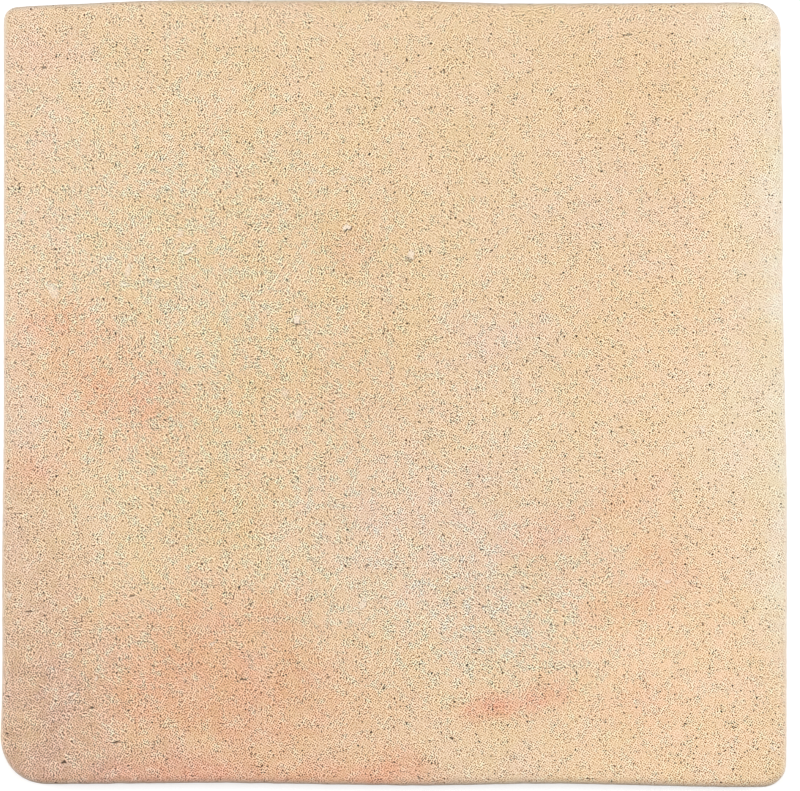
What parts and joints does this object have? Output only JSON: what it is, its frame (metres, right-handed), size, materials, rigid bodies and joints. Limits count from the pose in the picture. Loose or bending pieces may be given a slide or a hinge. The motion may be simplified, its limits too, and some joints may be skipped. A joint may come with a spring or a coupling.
{
  "type": "porcelain tile",
  "caption": "Square rustic porcelain floor tile with softly uneven edges, rounded corners and arris, a matt sandy buff face and a waffle-keyed back for adhesive.",
  "frame": {"origin": "on the plane of the back's ribs, under the middle of the tile's bounding box", "axes": "+Z out of the face, +Y towards the picture's top edge, +X towards the picture's right edge"},
  "size_m": [0.2998, 0.3, 0.01],
  "materials": {
    "tile_body": "matte"
  },
  "bodies": {
    "root": {"tile": "tile_body"}
  },
  "joints": []
}
